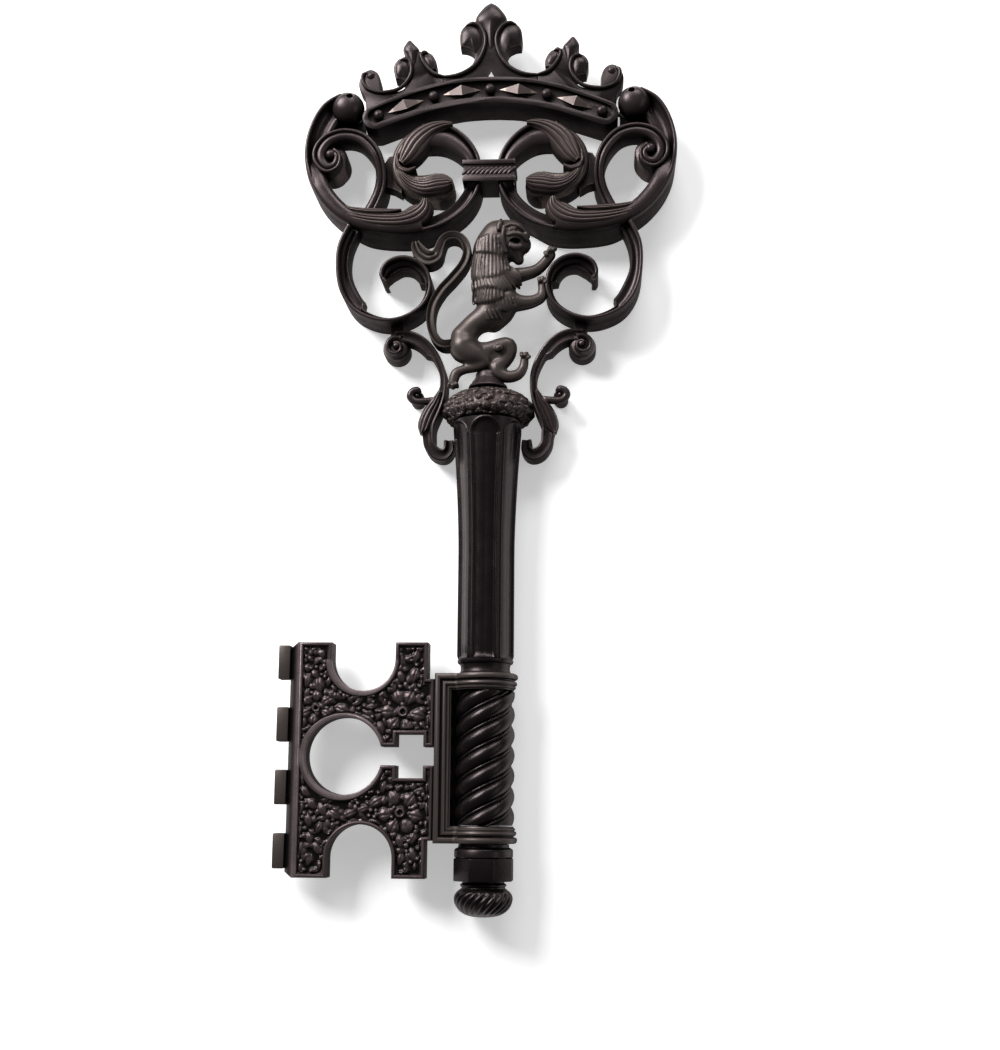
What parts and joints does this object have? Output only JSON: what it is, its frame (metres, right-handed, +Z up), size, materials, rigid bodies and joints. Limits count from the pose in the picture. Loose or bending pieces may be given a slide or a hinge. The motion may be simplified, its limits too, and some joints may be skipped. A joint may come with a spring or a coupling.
{
  "type": "skeleton key wall plaque",
  "caption": "Wall plaque in the form of a crowned skeleton key, with a scrollwork bow, a rampant lion, a fluted shank, a twisted barrel and a pierced bit, hung by a ring or screwed to the wall.",
  "frame": {"origin": "middle between the two wall screw holes in the shoulder balls, on the plane of the wall", "axes": "+Z up along the key, towards the crown; the front faces -Y and the wall is the plane y = 0; +X to the right seen from the front, so the bit points to -X"},
  "size_m": [0.2562, 0.0424, 0.6085],
  "materials": {
    "castings": "cast, blackened to an oil-rubbed bronze",
    "rubbed_castings": "cast, blackened, with the high spots rubbed back",
    "steel": "zinc plated"
  },
  "bodies": {
    "plaque": {"end_knob": "castings", "octagon_collar": "castings", "collar_ring": "castings", "bit_frame": "castings", "twist_barrel": "castings", "bit_plate": "rubbed_castings", "bit_teeth": "castings", "bit_screws": "steel", "shank_neck": "castings", "shank": "castings", "capital": "rubbed_castings", "rod_nut": "steel", "tie_rod": "steel", "lion_plinth": "rubbed_castings", "lion": "rubbed_castings", "lion_tail": "rubbed_castings", "bracket_left": "castings", "bracket_right": "castings", "lower_scroll_left": "castings", "lower_scroll_right": "castings", "heart_scroll_left": "castings", "heart_scroll_right": "castings", "side_volute_left": "castings", "side_volute_right": "castings", "acanthus_left": "rubbed_castings", "acanthus_right": "rubbed_castings", "foot_leaf_left": "rubbed_castings", "foot_leaf_right": "rubbed_castings", "scroll_collar": "rubbed_castings", "scroll_rivets": "steel", "crown_band": "castings", "crown_pearls": "rubbed_castings", "crown_lozenges": "rubbed_castings", "fleur_centre": "castings", "fleur_left": "castings", "fleur_right": "castings", "hanger_strap": "steel", "hanger_screw": "steel"},
    "ring": {"hanger_ring": "steel"}
  },
  "joints": [
    {"name": "ring_swing", "type": "hinge", "parent": "plaque", "child": "ring", "pos_m": [0, -0.00328, 0.0095], "axis": [1, 0, 0], "range_deg": [0, 180]}
  ]
}
